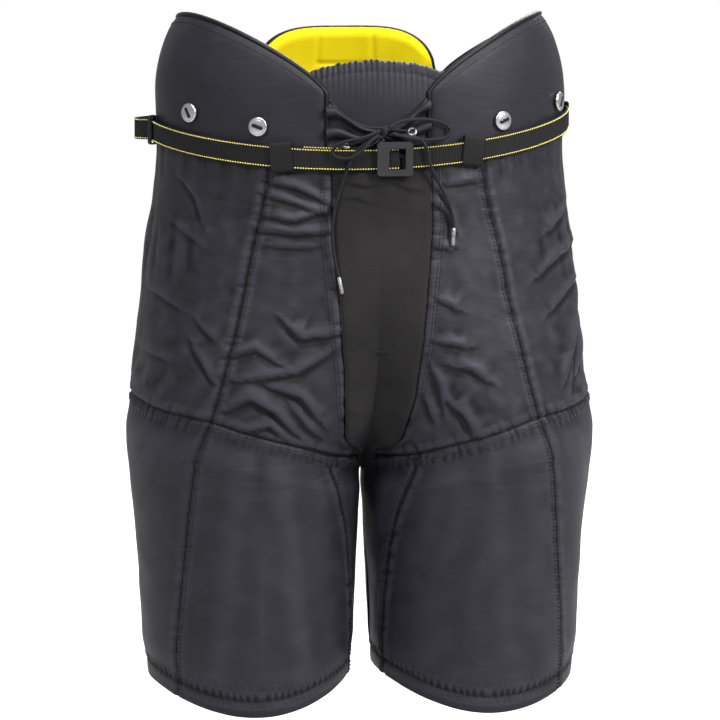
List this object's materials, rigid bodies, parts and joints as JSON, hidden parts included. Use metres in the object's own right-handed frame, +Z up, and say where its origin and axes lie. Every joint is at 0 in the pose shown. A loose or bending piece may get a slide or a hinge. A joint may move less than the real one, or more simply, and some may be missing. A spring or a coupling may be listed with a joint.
{
  "type": "ice hockey pants",
  "caption": "Padded black nylon ice hockey pants with side wings, front tongue, spine pad, slide-buckle belt and tied lace.",
  "frame": {"origin": "middle of the waist at belt height", "axes": "+Z up, front faces -Y, +X at the right of a front view"},
  "size_m": [0.4174, 0.2733, 0.6229],
  "materials": {
    "nylon": "woven nylon with a soft sheen",
    "knit": "matte stretch knit",
    "pad_plastic": "moulded",
    "foam": "foam sheet in a cloth sleeve",
    "lining": "knitted lining",
    "yellow_lining": "smooth knitted lining",
    "button_metal": "satin",
    "webbing": "ribbed webbing with yellow edge threads",
    "buckle_plastic": "satin moulded",
    "lace": "woven",
    "lace_tip": "clear film"
  },
  "bodies": {
    "waist": {"front_panel_left": "nylon", "front_panel_right": "nylon", "side_panel_left": "nylon", "side_panel_right": "nylon", "seat_panel_left": "nylon", "seat_panel_right": "nylon", "fly_panel": "knit", "crotch_gusset": "knit", "hip_plate_left": "pad_plastic", "hip_plate_right": "pad_plastic", "hip_pad_left": "foam", "hip_pad_right": "foam", "tailbone_pad": "foam", "waist_liner_left": "lining", "waist_liner_right": "lining", "back_waistband": "nylon", "wing_cover_left": "nylon", "wing_cover_right": "nylon", "wing_plate_left": "pad_plastic", "wing_plate_right": "pad_plastic", "wing_foam_left": "foam", "wing_foam_right": "foam", "wing_liner_left": "lining", "wing_liner_right": "lining", "suspender_buttons_left": "button_metal", "suspender_buttons_right": "button_metal", "waist_belt": "webbing", "belt_tail": "webbing", "belt_loops": "webbing", "lace_facing_left": "nylon", "lace_facing_right": "nylon", "lace_eyelets": "button_metal", "lace_knot": "lace", "lace_crossing": "lace", "lace_loops": "lace", "lace_end_left": "lace", "lace_end_right": "lace", "lace_tips": "lace_tip"},
    "left_leg": {"thigh_front_panel_left": "nylon", "thigh_side_panel_left": "nylon", "thigh_back_panel_left": "nylon", "thigh_guard_left": "pad_plastic", "thigh_foam_left": "foam", "leg_liner_left": "lining", "leg_hem_left": "nylon"},
    "right_leg": {"thigh_front_panel_right": "nylon", "thigh_side_panel_right": "nylon", "thigh_back_panel_right": "nylon", "thigh_guard_right": "pad_plastic", "thigh_foam_right": "foam", "leg_liner_right": "lining", "leg_hem_right": "nylon"},
    "tongue": {"tongue_cover": "nylon", "tongue_foam": "foam"},
    "spine_pad": {"spine_pad_cover": "nylon", "spine_pad_plate": "pad_plastic", "spine_pad_foam": "foam", "spine_pad_liner": "yellow_lining"},
    "buckle": {"belt_buckle": "buckle_plastic"}
  },
  "joints": [
    {"name": "hip_left", "type": "hinge", "parent": "waist", "child": "left_leg", "pos_m": [-0.1045, 0, -0.135], "axis": [-1, 0, 0], "range_deg": [-10, 40]},
    {"name": "hip_right", "type": "hinge", "parent": "waist", "child": "right_leg", "pos_m": [0.1045, 0, -0.135], "axis": [-1, 0, 0], "range_deg": [-10, 40]},
    {"name": "tongue_tilt", "type": "hinge", "parent": "waist", "child": "tongue", "pos_m": [0, -0.113, -0.056], "axis": [-1, 0, 0], "range_deg": [0, 20], "stiffness_Nm_per_rad": 0.8},
    {"name": "spine_pad_tilt", "type": "hinge", "parent": "waist", "child": "spine_pad", "pos_m": [0, 0.112, 0.033], "axis": [-1, 0, 0], "range_deg": [0, 25], "stiffness_Nm_per_rad": 0.8},
    {"name": "buckle_slide", "type": "slide", "parent": "waist", "child": "buckle", "axis": [0.9989, 0.046, 0], "range_m": [-0.003, 0.005]}
  ]
}
